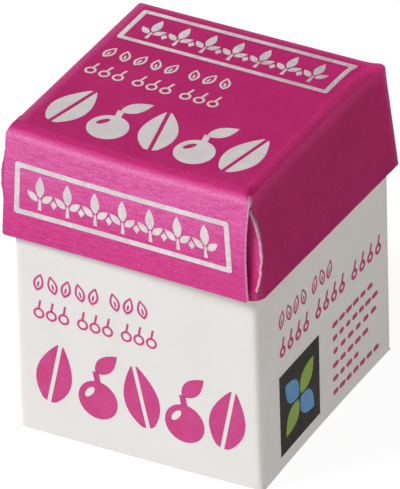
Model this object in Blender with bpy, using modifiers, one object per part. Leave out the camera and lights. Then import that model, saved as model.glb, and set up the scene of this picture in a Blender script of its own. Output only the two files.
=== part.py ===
"""A shut tea carton: a white folding-carton base under a loose, flared lid of printed board.

Metres, +Z up. The origin is the middle of the face that the carton stands on, and the front looks along -Y.
Each board box is first made as a straight box, and then carried to its true shape, in which the lid's walls
lean out to the rim, the lid sits a little askew, and the panels bow as thin board does.
"""

import math

import bmesh
import bpy
from mathutils import Matrix, Vector

# The base
BASE_WIDTH = 0.0466
BASE_DEPTH = 0.0472
BASE_CORNER_RADIUS = 0.0013
BASE_FOOT_RADIUS = 0.0002
LEAN_HEIGHT = 0.050  # the height at which the leans of the upright corners are stated
FRONT_LEFT_LEAN = 0.00047
FRONT_RIGHT_LEAN = -0.00017
BACK_RIGHT_LEAN = 0.00060
BACK_LEFT_LEAN = 0.00010
FRONT_LEAN_BACK = 0.00040
FRONT_FOOT_BOW = 0.00020
SIDE_FOOT_BOW = -0.00035
NECK_START = 0.0377  # under the lid the base is squeezed in, out of sight
NECK_END = 0.0415
NECK_INSET = 0.0027

# The lid, as a straight box and at its own corners
BOARD = 0.0004
LID_TOP_WIDTH = 0.0458
LID_TOP_DEPTH = 0.0452
LID_TOP_HEIGHT = 0.05877
LID_RIM_HEIGHT = 0.03842
FLARE_LEFT = 0.00043
FLARE_RIGHT = 0.00215
FLARE_FRONT = 0.00157
FLARE_BACK = 0.00297
LID_TURN = math.radians(-1.20)
LID_PITCH = math.radians(-1.26)
LID_PIVOT = Vector((0, 0, 0.050))
LID_SHIFT = Vector((-0.00044, -0.00020, 0))
LID_TWIST = 0.00029
LID_FRONT_CORNER_RADIUS = 0.0022
LID_BACK_CORNER_RADIUS = 0.0008
FRONT_FOLD_RADIUS = 0.0013  # the outer board's; the tray below it has the next one
TRAY_FRONT_CREASE_RADIUS = 0.0009
RIGHT_CREASE_RADIUS = 0.0015
LEFT_CREASE_RADIUS = 0.0005
BACK_CREASE_RADIUS = 0.0005
BACK_LEFT_FLARE = 0.0007  # how far the back left corner of the rim is pressed out
FRONT_CREASE_SAG = 0.00045
FRONT_RIM_BOW = 0.00025
SIDE_CREASE_SAG = 0.00040
EAR_LIFT = 0.00060  # the right wall's top back corner stands up and out
EAR_REACH = 0.0020
EAR_OUT = 0.00190
EAR_OUT_REACH = 0.0055
RIGHT_RIM_OUT = 0.00025  # how far the back right corner of the rim is pressed out

# The lid's front board, which laps over the tabs of the side walls
FRONT_SHORT_AT_RIM = 0.0018  # how far the board stops short of the right corner
FRONT_SHORT_AT_TOP = -0.0003
FRONT_SHORT_BOW = 0.00065  # how much more it stops short at half height
FRONT_DROP = 0.0001  # how far the board hangs below the tray's rim
TAB_SET_BACK = 0.0008  # how far the tabs stand behind the front board at half height
TAB_SET_BACK_AT_RIM = 0.00015
LEFT_WALL_INSET = 0.0001
FRONT_PAST = 0.0003  # how far the board stands past the left wall
RIGHT_FOLD_TRIM = 0.9  # taken off the ends of the fold, for each length up it
LEFT_FOLD_TRIM = 0.42
FOLD_SEAT = 1.5  # how far the board reaches over the top past its thickness, in fold radii
FRONT_NIP = 0.0005  # off its lower corners

# The half-moon tongues that stand out of the two front corners
RIGHT_TONGUE_REACH = 0.00085
LEFT_TONGUE_REACH = 0.0016
RIGHT_TONGUE_ROOT = 0.00045  # how far inside the wall its arc starts
RIGHT_TONGUE_HALF_LENGTH = 0.0076
LEFT_TONGUE_HALF_LENGTH = 0.0070
RIGHT_TONGUE_MIDDLE = 0.0095  # above the rim
LEFT_TONGUE_MIDDLE = 0.0102
TONGUE_SLOT_DEPTH = 0.0020

# Steps of the surface
GAP = 0.0013  # left between the lid's top and the base
OVERLAP = 0.00015
HAIR = 0.00003
LEAST_ROUND = 1.5  # a radius of fewer insets than this is left sharp
CORNER_STEPS = 3
NIP_STEPS = 2
ARC_STEPS = 12
PANEL_STEP = 0.008
END_STEP = 0.004  # along the front board's right end
SAME_PLACE = 1e-7
SMOOTH_BELOW = math.radians(35)

LID_WIDTH = LID_TOP_WIDTH + (FLARE_LEFT + FLARE_RIGHT) / 2
LID_DEPTH = LID_TOP_DEPTH + (FLARE_FRONT + FLARE_BACK) / 2
LID_HEIGHT = LID_TOP_HEIGHT - LID_RIM_HEIGHT
BASE_HEIGHT = LID_TOP_HEIGHT - BOARD - GAP

PRINTED_MAGENTA = (0.48, 0.028, 0.17, 1)
COATED_WHITE = (0.80, 0.79, 0.77, 1)
PRINTED_ROUGHNESS = 0.45
COATED_ROUGHNESS = 0.50


def material(name, colour, roughness):
    made = bpy.data.materials.new(name)
    made.use_nodes = True
    shader = made.node_tree.nodes["Principled BSDF"]
    shader.inputs["Base Color"].default_value = colour
    shader.inputs["Roughness"].default_value = roughness
    shader.inputs["Metallic"].default_value = 0
    return made


def straight_box(low, high):
    """A box from its lowest to its highest corner, as a bmesh."""
    bm = bmesh.new()
    bmesh.ops.create_cube(bm, size=1)
    low, high = Vector(low), Vector(high)
    for vert in bm.verts:
        share = vert.co + Vector((0.5, 0.5, 0.5))
        vert.co = low + Vector(a * b for a, b in zip(share, high - low))
    return bm


def rounded(made, radius_of, steps):
    """Bevels each edge of a straight shape by the radius that its direction and its middle ask for."""
    bm = bmesh.new()
    bm.from_mesh(made.data)
    radii = []
    for edge in bm.edges:
        a, b = (vert.co for vert in edge.verts)
        radii.append(radius_of((b - a).normalized(), (a + b) / 2))
    widest = max(radii)
    weights = bm.edges.layers.float.new("bevel_weight_edge")
    for edge, radius in zip(bm.edges, radii):
        edge[weights] = radius / widest
    bm.to_mesh(made.data)
    bm.free()
    step = made.modifiers.new("Bevel", "BEVEL")
    step.limit_method = "WEIGHT"
    step.width = widest
    step.segments = steps
    step.use_clamp_overlap = True
    return applied(made)


def divide(bm, axis, places):
    """Cuts the faces by planes across one axis, so that the panels can bow between them."""
    normal = Vector((0, 0, 0))
    normal[axis] = 1
    for place in places:
        geom = bm.verts[:] + bm.edges[:] + bm.faces[:]
        bmesh.ops.bisect_plane(bm, geom=geom, dist=SAME_PLACE, plane_co=normal * place, plane_no=normal)


def steps_between(low, high, longest=PANEL_STEP):
    """Even steps between two places, both left out."""
    count = max(2, round((high - low) / longest))
    return [low + (high - low) * i / count for i in range(1, count)]


def into_object(name, bm, collection):
    mesh = bpy.data.meshes.new(name)
    bm.to_mesh(mesh)
    bm.free()
    made = bpy.data.objects.new(name, mesh)
    collection.objects.link(made)
    return made


def applied(made):
    """The object with its modifiers worked into its mesh."""
    graph = bpy.context.evaluated_depsgraph_get()
    mesh = bpy.data.meshes.new_from_object(made.evaluated_get(graph))
    made.modifiers.clear()
    made.data = mesh
    return made


def boolean(made, operation, other):
    """Joins or cuts with another object, which is then removed. Other solvers leave this thin shell open."""
    step = made.modifiers.new(operation.title(), "BOOLEAN")
    step.operation = operation
    step.solver = "MANIFOLD"
    step.object = other
    applied(made)
    bpy.data.objects.remove(other)


def plate(name, outline, thickness, axis, start, collection):
    """A flat plate: its outline is pairs across the given axis, and it runs from start along that axis."""
    bm = bmesh.new()
    others = [i for i in range(3) if i != axis]
    corners = []
    for pair in outline:
        place = Vector((0, 0, 0))
        place[axis] = start
        place[others[0]], place[others[1]] = pair
        corners.append(bm.verts.new(place))
    face = bm.faces.new(corners)
    along = Vector((0, 0, 0))
    along[axis] = thickness
    grown = bmesh.ops.extrude_face_region(bm, geom=[face])
    moved = [item for item in grown["geom"] if isinstance(item, bmesh.types.BMVert)]
    bmesh.ops.translate(bm, verts=moved, vec=along)
    bmesh.ops.recalc_face_normals(bm, faces=bm.faces[:])
    return into_object(name, bm, collection)


def half_moon(chord_place, apex_place, middle, half_length):
    """Points of a circle's segment that bulges from its chord to its apex, closed along the chord."""
    rise = apex_place - chord_place
    radius = (half_length**2 + rise**2) / (2 * abs(rise))
    turn = math.asin(half_length / radius)
    side = math.copysign(1, rise)
    points = []
    for i in range(ARC_STEPS + 1):
        angle = turn * (2 * i / ARC_STEPS - 1)
        across = apex_place - side * radius * (1 - math.cos(angle))
        points.append((across, middle + radius * math.sin(angle)))
    return points


def blend(a, b, share):
    return a + (b - a) * share


def smooth(share):
    share = min(max(share, 0), 1)
    return share * share * (3 - 2 * share)


def arch(share):
    """1 in the middle of a panel and 0 at both its ends, for a share from -1 to 1."""
    return max(0, 1 - share * share)


def base_shape(place):
    """Carries a point of the straight base to the leaning, bowed and necked base."""
    across = 2 * place.x / BASE_WIDTH
    along = 2 * place.y / BASE_DEPTH
    rise = place.z / LEAN_HEIGHT
    front = blend(FRONT_LEFT_LEAN, FRONT_RIGHT_LEAN, (across + 1) / 2)
    back = blend(BACK_LEFT_LEAN, BACK_RIGHT_LEAN, (across + 1) / 2)
    lean = blend(front, back, (along + 1) / 2)
    foot = 1 - smooth(place.z / NECK_START)
    neck = NECK_INSET * smooth((place.z - NECK_START) / (NECK_END - NECK_START))
    tilt = math.tan(LID_PITCH) * place.y * smooth(place.z / BASE_HEIGHT)
    x = place.x + lean * rise - neck * across
    x += SIDE_FOOT_BOW * arch(along) * foot * max(0, across)
    y = place.y + FRONT_LEAN_BACK * rise * max(0, -along) - neck * along
    y -= FRONT_FOOT_BOW * arch(across) * foot * max(0, -along)
    return Vector((x, y, place.z + tilt))


def lid_corner(across, along, level):
    """A corner of the lid: across and along are -1 or 1, and level is 0 at the rim and 1 at the top."""
    x = across * (LID_TOP_WIDTH / 2 + (1 - level) * (FLARE_RIGHT if across > 0 else FLARE_LEFT))
    y = along * (LID_TOP_DEPTH / 2 + (1 - level) * (FLARE_BACK if along > 0 else FLARE_FRONT))
    z = blend(LID_RIM_HEIGHT, LID_TOP_HEIGHT, level) + level * LID_TWIST * across * along
    place = Vector((x, y, z))
    if across > 0 and along > 0:
        place.x += (1 - level) * RIGHT_RIM_OUT
    elif along > 0:
        place.x -= (1 - level) * BACK_LEFT_FLARE
    turned = Matrix.Rotation(LID_TURN, 3, "Z") @ Matrix.Rotation(LID_PITCH, 3, "X")
    return turned @ (place - LID_PIVOT) + LID_PIVOT + LID_SHIFT


def tab_set_back(level):
    """How far the tab stands behind the front board, from the rim to the top."""
    return TAB_SET_BACK * math.sin(math.pi * min(max(level, 0), 1)) + TAB_SET_BACK_AT_RIM * (1 - level)


def lid_shape(place):
    """Carries a point of the straight lid to the flared, askew lid."""
    across = 2 * place.x / LID_WIDTH
    level = place.z / LID_HEIGHT
    depth = place.y + LID_DEPTH / 2
    fade = smooth(depth / BOARD) * (1 - smooth((depth - 2 * BOARD) / PANEL_STEP))
    along = 2 * (place.y + fade * tab_set_back(level)) / LID_DEPTH
    rows = []
    for v in (0, 1):
        front = blend(lid_corner(-1, -1, v), lid_corner(1, -1, v), (across + 1) / 2)
        back = blend(lid_corner(-1, 1, v), lid_corner(1, 1, v), (across + 1) / 2)
        rows.append(blend(front, back, (along + 1) / 2))
    carried = blend(rows[0], rows[1], level)
    near_front = smooth(-along)
    near_right = smooth(across)
    carried.z -= FRONT_CREASE_SAG * arch(across) * near_front * smooth(level)
    carried.y += FRONT_RIM_BOW * arch(across) * near_front * (1 - smooth(level))
    carried.x -= SIDE_CREASE_SAG * arch(along) * near_right * smooth(level)
    corner = Vector((LID_WIDTH / 2, LID_DEPTH / 2, LID_HEIGHT))
    carried.z += EAR_LIFT * math.exp(-(((place - corner).length / EAR_REACH) ** 2))
    past = max(0, 1 - (corner.y - place.y) / EAR_OUT_REACH)
    carried.x += EAR_OUT * past * past * smooth(across * across) * max(0, math.copysign(level, across))
    return carried


def carry(made, shape):
    for vert in made.data.vertices:
        vert.co = shape(vert.co)


def divide_panels(made, places):
    bm = bmesh.new()
    bm.from_mesh(made.data)
    for axis in range(3):
        divide(bm, axis, places[axis])
    bm.to_mesh(made.data)
    bm.free()


def smooth_faces(made):
    made.data.shade_smooth()
    made.data.set_sharp_from_angle(angle=SMOOTH_BELOW)


def base_carton(collection):
    half = Vector((BASE_WIDTH / 2, BASE_DEPTH / 2, 0))
    made = into_object("base_carton", straight_box(-half, half + Vector((0, 0, BASE_HEIGHT))), collection)

    def radius(direction, middle):
        if abs(direction.z) > 0.5:
            return BASE_CORNER_RADIUS
        return BASE_FOOT_RADIUS if middle.z < BASE_HEIGHT / 2 else 0

    rounded(made, radius, CORNER_STEPS)
    rows = steps_between(0, NECK_START) + [NECK_START, NECK_END] + steps_between(NECK_END, BASE_HEIGHT)
    divide_panels(made, (steps_between(-half.x, half.x), steps_between(-half.y, half.y), rows))
    carry(made, base_shape)
    smooth_faces(made)
    made.data.materials.append(material("coated_white_board", COATED_WHITE, COATED_ROUGHNESS))
    return made


def lid_block(inset, collection):
    """The block inside the lid's tray, or with no inset the block that the tray fills."""
    low = Vector((-LID_WIDTH / 2 + LEFT_WALL_INSET + inset, -LID_DEPTH / 2 + BOARD + inset, -inset))
    high = Vector((LID_WIDTH / 2 - inset, LID_DEPTH / 2 - inset, LID_HEIGHT - inset))
    made = into_object("lid", straight_box(low, high), collection)

    def radius(direction, middle):
        if abs(direction.z) > 0.5:
            outer = LID_FRONT_CORNER_RADIUS if middle.y < 0 else LID_BACK_CORNER_RADIUS
        elif middle.z < LID_HEIGHT / 2:
            outer = 0
        elif abs(direction.x) > 0.5:
            outer = TRAY_FRONT_CREASE_RADIUS if middle.y < 0 else BACK_CREASE_RADIUS
        else:
            outer = LEFT_CREASE_RADIUS if middle.x < 0 else RIGHT_CREASE_RADIUS
        return outer - inset if outer > LEAST_ROUND * inset else 0

    return rounded(made, radius, CORNER_STEPS)


def lid_tray(collection):
    """The lid's top, side walls, back wall and front tabs, open below."""
    made = lid_block(0, collection)
    boolean(made, "DIFFERENCE", lid_block(BOARD, collection))
    return made


def right_end_short(level):
    """How far the front board's right end stops short of the corner, from the rim to the top."""
    bow = FRONT_SHORT_BOW * math.sin(math.pi * min(max(level, 0), 1))
    return blend(FRONT_SHORT_AT_RIM, FRONT_SHORT_AT_TOP, level) + bow


def front_board(collection):
    """The lid's front panel with the fold that joins it to the top, as an extruded strip."""
    front = -LID_DEPTH / 2
    back = front + BOARD + OVERLAP
    fold = LID_HEIGHT - FRONT_FOLD_RADIUS
    outline = [(back, -FRONT_DROP), (front, -FRONT_DROP)]
    for i in range(CORNER_STEPS + 1):
        angle = math.pi / 2 * i / CORNER_STEPS
        y = front + FRONT_FOLD_RADIUS * (1 - math.cos(angle))
        outline.append((y, fold + FRONT_FOLD_RADIUS * math.sin(angle) + HAIR))
    seat = front + BOARD + FOLD_SEAT * FRONT_FOLD_RADIUS
    outline += [(seat, LID_HEIGHT + HAIR), (seat, LID_HEIGHT - BOARD / 2), (back, fold - FRONT_FOLD_RADIUS)]
    made = plate("front_board", outline, LID_WIDTH, 0, -LID_WIDTH / 2, collection)
    divide_panels(made, ([], [], steps_between(0, fold, END_STEP)))
    for vert in made.data.vertices:
        past_fold = max(0, vert.co.z - fold)
        if vert.co.x > 0:
            vert.co.x -= right_end_short(vert.co.z / LID_HEIGHT) + RIGHT_FOLD_TRIM * past_fold
        else:
            vert.co.x -= FRONT_PAST - LEFT_FOLD_TRIM * past_fold

    def nip(direction, middle):
        return FRONT_NIP if abs(direction.y) > 0.5 and middle.z < 0 else 0

    return rounded(made, nip, NIP_STEPS)


def tongue_middle(side):
    return RIGHT_TONGUE_MIDDLE if side > 0 else LEFT_TONGUE_MIDDLE


def tongue_half_length(side):
    return RIGHT_TONGUE_HALF_LENGTH if side > 0 else LEFT_TONGUE_HALF_LENGTH


def tongue(side, collection):
    """The half-moon of board that stands out at a front corner, in the plane of the tab."""
    wall = LID_WIDTH / 2 if side > 0 else LEFT_WALL_INSET - LID_WIDTH / 2
    apex = wall + RIGHT_TONGUE_REACH if side > 0 else wall - LEFT_TONGUE_REACH
    chord = wall - RIGHT_TONGUE_ROOT if side > 0 else wall
    outline = half_moon(chord, apex, tongue_middle(side), tongue_half_length(side))
    root = wall - side * (LID_FRONT_CORNER_RADIUS + BOARD)
    outline += [(root, outline[-1][1]), (root, outline[0][1])]
    start = -LID_DEPTH / 2 + BOARD + HAIR
    return plate("tongue", outline, BOARD - 2 * HAIR, 1, start, collection)


def tongue_slot(side, collection):
    """Cuts away the corner behind a tongue, where its board came from."""
    tab = -LID_DEPTH / 2 + BOARD
    chord = tab + BOARD + HAIR
    outline = half_moon(chord, tab + TONGUE_SLOT_DEPTH, tongue_middle(side), tongue_half_length(side))
    reach = LID_FRONT_CORNER_RADIUS + BOARD
    start = side * LID_WIDTH / 2 - reach
    return plate("tongue_slot", outline, 2 * reach, 0, start, collection)


def lid(collection):
    made = lid_tray(collection)
    for side in (-1, 1):
        boolean(made, "DIFFERENCE", tongue_slot(side, collection))
        boolean(made, "UNION", tongue(side, collection))
    boolean(made, "UNION", front_board(collection))
    columns = steps_between(-LID_WIDTH / 2, LID_WIDTH / 2) + [LID_WIDTH / 2 - EAR_REACH]
    ranks = steps_between(-LID_DEPTH / 2, LID_DEPTH / 2)
    ranks += [LID_DEPTH / 2 - EAR_OUT_REACH * share for share in (0.25, 0.5)]
    divide_panels(made, (columns, ranks, steps_between(0, LID_HEIGHT)))
    carry(made, lid_shape)
    smooth_faces(made)
    made.data.materials.clear()
    made.data.materials.append(material("printed_magenta_board", PRINTED_MAGENTA, PRINTED_ROUGHNESS))
    return made


def main():
    for old in list(bpy.data.objects):
        bpy.data.objects.remove(old)
    collection = bpy.data.collections.new("tea_carton")
    bpy.context.scene.collection.children.link(collection)
    base_carton(collection)
    lid(collection)


main()
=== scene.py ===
"""A shut tea carton: a white base, a printed magenta lid with foil frames, and plain ornaments as its print.

Every printed shape is laid out flat, in metres, on one straight face of the carton, and then carried by the
same rule that carries the board, so it follows each lean, bow and flare. The front looks along -Y.
"""

import math

import bmesh
import bpy
from mathutils import Matrix, Vector, noise


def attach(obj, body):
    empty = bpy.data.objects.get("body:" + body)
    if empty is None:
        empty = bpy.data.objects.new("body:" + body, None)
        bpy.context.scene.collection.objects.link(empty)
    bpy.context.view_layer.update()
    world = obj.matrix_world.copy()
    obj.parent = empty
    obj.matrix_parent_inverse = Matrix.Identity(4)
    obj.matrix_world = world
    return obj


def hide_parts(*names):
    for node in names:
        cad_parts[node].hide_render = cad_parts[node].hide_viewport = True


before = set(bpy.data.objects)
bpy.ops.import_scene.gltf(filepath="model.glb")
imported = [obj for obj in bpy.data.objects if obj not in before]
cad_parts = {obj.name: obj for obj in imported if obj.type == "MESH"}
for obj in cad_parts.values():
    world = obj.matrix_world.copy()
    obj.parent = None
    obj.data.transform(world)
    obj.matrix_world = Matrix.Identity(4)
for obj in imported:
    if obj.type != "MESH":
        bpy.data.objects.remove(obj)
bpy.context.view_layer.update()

# The base, as in the part's source
BASE_WIDTH = 0.0466
BASE_DEPTH = 0.0472
BASE_CORNER_RADIUS = 0.0013
BASE_FOOT_RADIUS = 0.0002
LEAN_HEIGHT = 0.050
FRONT_LEFT_LEAN = 0.00047
FRONT_RIGHT_LEAN = -0.00017
BACK_RIGHT_LEAN = 0.00060
BACK_LEFT_LEAN = 0.00010
FRONT_LEAN_BACK = 0.00040
FRONT_FOOT_BOW = 0.00020
SIDE_FOOT_BOW = -0.00035
NECK_START = 0.0377
NECK_END = 0.0415
NECK_INSET = 0.0027

# The lid, as in the part's source
BOARD = 0.0004
LID_TOP_WIDTH = 0.0458
LID_TOP_DEPTH = 0.0452
LID_TOP_HEIGHT = 0.05877
LID_RIM_HEIGHT = 0.03842
FLARE_LEFT = 0.00043
FLARE_RIGHT = 0.00215
FLARE_FRONT = 0.00157
FLARE_BACK = 0.00297
LID_TURN = math.radians(-1.20)
LID_PITCH = math.radians(-1.26)
LID_PIVOT = Vector((0, 0, 0.050))
LID_SHIFT = Vector((-0.00044, -0.00020, 0))
LID_TWIST = 0.00029
LID_FRONT_CORNER_RADIUS = 0.0022
LID_BACK_CORNER_RADIUS = 0.0008
FRONT_FOLD_RADIUS = 0.0013
TRAY_FRONT_CREASE_RADIUS = 0.0009
RIGHT_CREASE_RADIUS = 0.0015
LEFT_CREASE_RADIUS = 0.0005
BACK_CREASE_RADIUS = 0.0005
BACK_LEFT_FLARE = 0.0007
FRONT_CREASE_SAG = 0.00045
FRONT_RIM_BOW = 0.00025
SIDE_CREASE_SAG = 0.00040
EAR_LIFT = 0.00060
EAR_REACH = 0.0020
EAR_OUT = 0.00190
EAR_OUT_REACH = 0.0055
RIGHT_RIM_OUT = 0.00025
FRONT_SHORT_AT_RIM = 0.0018
FRONT_SHORT_AT_TOP = -0.0003
FRONT_SHORT_BOW = 0.00065
FRONT_DROP = 0.0001
TAB_SET_BACK = 0.0008
TAB_SET_BACK_AT_RIM = 0.00015
LEFT_WALL_INSET = 0.0001
FRONT_PAST = 0.0003
RIGHT_FOLD_TRIM = 0.38
LEFT_FOLD_TRIM = 0.42
FRONT_NIP = 0.0005
RIGHT_TONGUE_REACH = 0.00085
LEFT_TONGUE_REACH = 0.0016
RIGHT_TONGUE_ROOT = 0.00045
RIGHT_TONGUE_HALF_LENGTH = 0.0076
LEFT_TONGUE_HALF_LENGTH = 0.0070
RIGHT_TONGUE_MIDDLE = 0.0095
LEFT_TONGUE_MIDDLE = 0.0102
TONGUE_SLOT_DEPTH = 0.0020
TAB_FADE = 0.008  # how far behind the tab its set-back fades out
GAP = 0.0013

LID_WIDTH = LID_TOP_WIDTH + (FLARE_LEFT + FLARE_RIGHT) / 2
LID_DEPTH = LID_TOP_DEPTH + (FLARE_FRONT + FLARE_BACK) / 2
LID_HEIGHT = LID_TOP_HEIGHT - LID_RIM_HEIGHT
BASE_HEIGHT = LID_TOP_HEIGHT - BOARD - GAP

# How finely the board is made here
CORNER_STEPS = 8
ARC_STEPS = 28
NIP_STEPS = 4
PANEL_STEP = 0.0022
NECK_STEP = 0.0005
PRINT_STEP = 0.0025
HAIR = 0.00001
ONE_POINT = 0.0000001  # a cut this near to a point goes through it
SHARP_BELOW = 1.5  # an inner corner is sharp where the outer radius is under so many thicknesses
EAR_SHARES = (0.35, 0.65, 1, 1.4)  # cuts round the raised corner, in its reaches
CREASE_SHARES = (1.25, 1.75, 2.2)  # cuts under the right crease, in its radii
SEAT_SHARES = (1.2, 1.5, 1.8, 2.1, 2.5, 2.9)  # cuts behind the front fold, in its radii
FOLD_SHARES = (-0.6, -0.45, -0.3, -0.15, 0)  # cuts under the front fold, in its radii
SMOOTH_BELOW = math.radians(35)

# The front fold: how far back its board lies on the top, in radii, and its right end, pressed down and torn
SEAT_REACH = 3
FOLD_END_RADIUS = 0.0011
PRESS_REACH = 1.8  # how far back the press is eased, in radii of the fold
PRESS_END = 0.96  # how far round a crease the press follows it
BARE_STRIP = 0.00010  # the width of bare fibre along the front board's right end
TORN_CORNER = 0.00105  # how far back the fold's end is torn
TORN_BAND = 0.00030  # how far the printed face is torn back from a tongue's edge

# Frayed edges: how far the fibres of a cut stray, the size of their tufts, and one seed for every run
FRAY = 0.00005
TONGUE_FRAY = 2 * FRAY
TONGUE_STRAY = 3 * FRAY
TUFT = 0.00029
WIDE_TUFT = 0.0013
FRAY_SEED = 5

noise.seed_set(FRAY_SEED)

# How much the ink is stretched pale along each fold, and how far from it. On the front fold the paleness is
# also a painted highlight
FOLD_BAND = 0.0008
FRONT_FOLD_SPREAD = 0.7  # the front fold's band, as a share of the others'
FRONT_FOLD_WEAR_AND_HIGHLIGHT = 0.60
RIGHT_CREASE_WEAR = 0.09
RIGHT_WALL_WEAR = 0.05
LEFT_CREASE_WEAR = 0.5
BACK_WEAR = 0.4
FRONT_CORNER_WEAR = 0.2
TONGUE_WEAR = 0.3

# How much painted sheen lies on the front board: over its panel, round a line on it, on its fold and behind
# that
PANEL_SHEEN = 0.11
LINE_SHEEN = 0.21
LINE_BELOW_FOLD = 0.0028
LINE_SHEEN_BAND = 0.0085
FOLD_SHEEN = 0.24
FOLD_SHEEN_BAND = 0.00085
SEAT_SHEEN = 0.07
SEAT_SHEEN_BAND = 0.0020

# How much painted light lies behind the fold and along the right crease, and how much painted shade on the
# side walls
SEAT_PAINTED_LIGHT = 0.34
SEAT_PAINTED_LIGHT_BAND = 0.0017
CREASE_PAINTED_LIGHT = 0.58
CREASE_PAINTED_LIGHT_BAND = 0.0012
WALL_PAINTED_SHADE = 0.17
WALL_SHADE_FROM = 0.0010
WALL_SHADE_BAND = 0.0030

# The print
INK_PROUD = 0.00002
INK_SUNK = 0.00003
MM = 0.001

# The white ends of the board, its unprinted inside and its printed face are three finishes of one piece
PRINTED, CUT, INSIDE = range(3)


def blend(a, b, share):
    return a + (b - a) * share


def smooth(share):
    share = min(max(share, 0), 1)
    return share * share * (3 - 2 * share)


def arch(share):
    """1 in the middle of a panel and 0 at both its ends, for a share from -1 to 1."""
    return max(0, 1 - share * share)


def base_shape(place):
    """Carries a point of the straight base to the leaning, bowed and necked base."""
    across = 2 * place.x / BASE_WIDTH
    along = 2 * place.y / BASE_DEPTH
    rise = place.z / LEAN_HEIGHT
    front = blend(FRONT_LEFT_LEAN, FRONT_RIGHT_LEAN, (across + 1) / 2)
    back = blend(BACK_LEFT_LEAN, BACK_RIGHT_LEAN, (across + 1) / 2)
    lean = blend(front, back, (along + 1) / 2)
    foot = 1 - smooth(place.z / NECK_START)
    neck = NECK_INSET * smooth((place.z - NECK_START) / (NECK_END - NECK_START))
    tilt = math.tan(LID_PITCH) * place.y * smooth(place.z / BASE_HEIGHT)
    x = place.x + lean * rise - neck * across
    x += SIDE_FOOT_BOW * arch(along) * foot * max(0, across)
    y = place.y + FRONT_LEAN_BACK * rise * max(0, -along) - neck * along
    y -= FRONT_FOOT_BOW * arch(across) * foot * max(0, -along)
    return Vector((x, y, place.z + tilt))


def lid_corner(across, along, level):
    """A corner of the lid: across and along are -1 or 1, and level is 0 at the rim and 1 at the top."""
    x = across * (LID_TOP_WIDTH / 2 + (1 - level) * (FLARE_RIGHT if across > 0 else FLARE_LEFT))
    y = along * (LID_TOP_DEPTH / 2 + (1 - level) * (FLARE_BACK if along > 0 else FLARE_FRONT))
    z = blend(LID_RIM_HEIGHT, LID_TOP_HEIGHT, level) + level * LID_TWIST * across * along
    place = Vector((x, y, z))
    if across > 0 and along > 0:
        place.x += (1 - level) * RIGHT_RIM_OUT
    elif along > 0:
        place.x -= (1 - level) * BACK_LEFT_FLARE
    turned = Matrix.Rotation(LID_TURN, 3, "Z") @ Matrix.Rotation(LID_PITCH, 3, "X")
    return turned @ (place - LID_PIVOT) + LID_PIVOT + LID_SHIFT


LID_CORNERS = {(a, b, c): lid_corner(a, b, c) for a in (-1, 1) for b in (-1, 1) for c in (0, 1)}


def tab_set_back(level):
    """How far the tab stands behind the front board, from the rim to the top."""
    return TAB_SET_BACK * math.sin(math.pi * min(max(level, 0), 1)) + TAB_SET_BACK_AT_RIM * (1 - level)


def lid_shape(place, tab=1):
    """Carries a point of the straight lid to the askew lid. The front board skips the tab's set-back."""
    across = 2 * place.x / LID_WIDTH
    level = place.z / LID_HEIGHT
    depth = place.y + LID_DEPTH / 2
    fade = smooth(depth / BOARD) * (1 - smooth((depth - 2 * BOARD) / TAB_FADE))
    along = 2 * (place.y + tab * fade * tab_set_back(level)) / LID_DEPTH
    rows = []
    for v in (0, 1):
        front = blend(LID_CORNERS[-1, -1, v], LID_CORNERS[1, -1, v], (across + 1) / 2)
        back = blend(LID_CORNERS[-1, 1, v], LID_CORNERS[1, 1, v], (across + 1) / 2)
        rows.append(blend(front, back, (along + 1) / 2))
    carried = blend(rows[0], rows[1], level)
    near_front = smooth(-along)
    near_right = smooth(across)
    carried.z -= FRONT_CREASE_SAG * arch(across) * near_front * smooth(level)
    carried.y += FRONT_RIM_BOW * arch(across) * near_front * (1 - smooth(level))
    carried.x -= SIDE_CREASE_SAG * arch(along) * near_right * smooth(level)
    corner = Vector((LID_WIDTH / 2, LID_DEPTH / 2, LID_HEIGHT))
    carried.z += EAR_LIFT * math.exp(-(((place - corner).length / EAR_REACH) ** 2))
    past = max(0, 1 - (corner.y - place.y) / EAR_OUT_REACH)
    carried.x += EAR_OUT * past * past * smooth(across * across) * max(0, math.copysign(level, across))
    return carried


# Node trees


class Number:
    """A number's socket. Arithmetic on it adds Math nodes to its tree."""

    def __init__(self, tree, socket):
        self.tree = tree
        self.socket = socket

    def worked(self, operation, *values):
        inputs = dict(enumerate(values))
        return self.tree.number("ShaderNodeMath", {"operation": operation}, inputs, "Value")

    def __add__(self, other):
        return self.worked("ADD", self, other)

    __radd__ = __add__

    def __sub__(self, other):
        return self.worked("SUBTRACT", self, other)

    def __rsub__(self, other):
        return self.worked("SUBTRACT", other, self)

    def __mul__(self, other):
        return self.worked("MULTIPLY", self, other)

    __rmul__ = __mul__

    def __truediv__(self, other):
        return self.worked("DIVIDE", self, other)

    def __rtruediv__(self, other):
        return self.worked("DIVIDE", other, self)

    def clamped(self):
        return self.worked("MINIMUM", self.worked("MAXIMUM", self, 0.0), 1.0)

    def step(self, low, high):
        """0 below low, 1 above high, and a soft rise between them."""
        settings = {"interpolation_type": "SMOOTHSTEP"}
        inputs = {"Value": self, "From Min": low, "From Max": high}
        return self.tree.number("ShaderNodeMapRange", settings, inputs, "Result")


class Tree:
    """A node tree, filled by one method for every kind of node."""

    def __init__(self, tree):
        self.tree = tree

    def node(self, kind, settings=None, inputs=None):
        """Adds a node. Its settings are set first, then the values or links of its sockets."""
        made = self.tree.nodes.new(kind)
        for name, value in (settings or {}).items():
            setattr(made, name, value)
        for name, value in (inputs or {}).items():
            value = value.socket if isinstance(value, Number) else value
            if isinstance(value, bpy.types.NodeSocket):
                self.tree.links.new(value, made.inputs[name])
            else:
                made.inputs[name].default_value = value
        return made

    def number(self, kind, settings, inputs, output):
        return Number(self, self.node(kind, settings, inputs).outputs[output])


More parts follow.
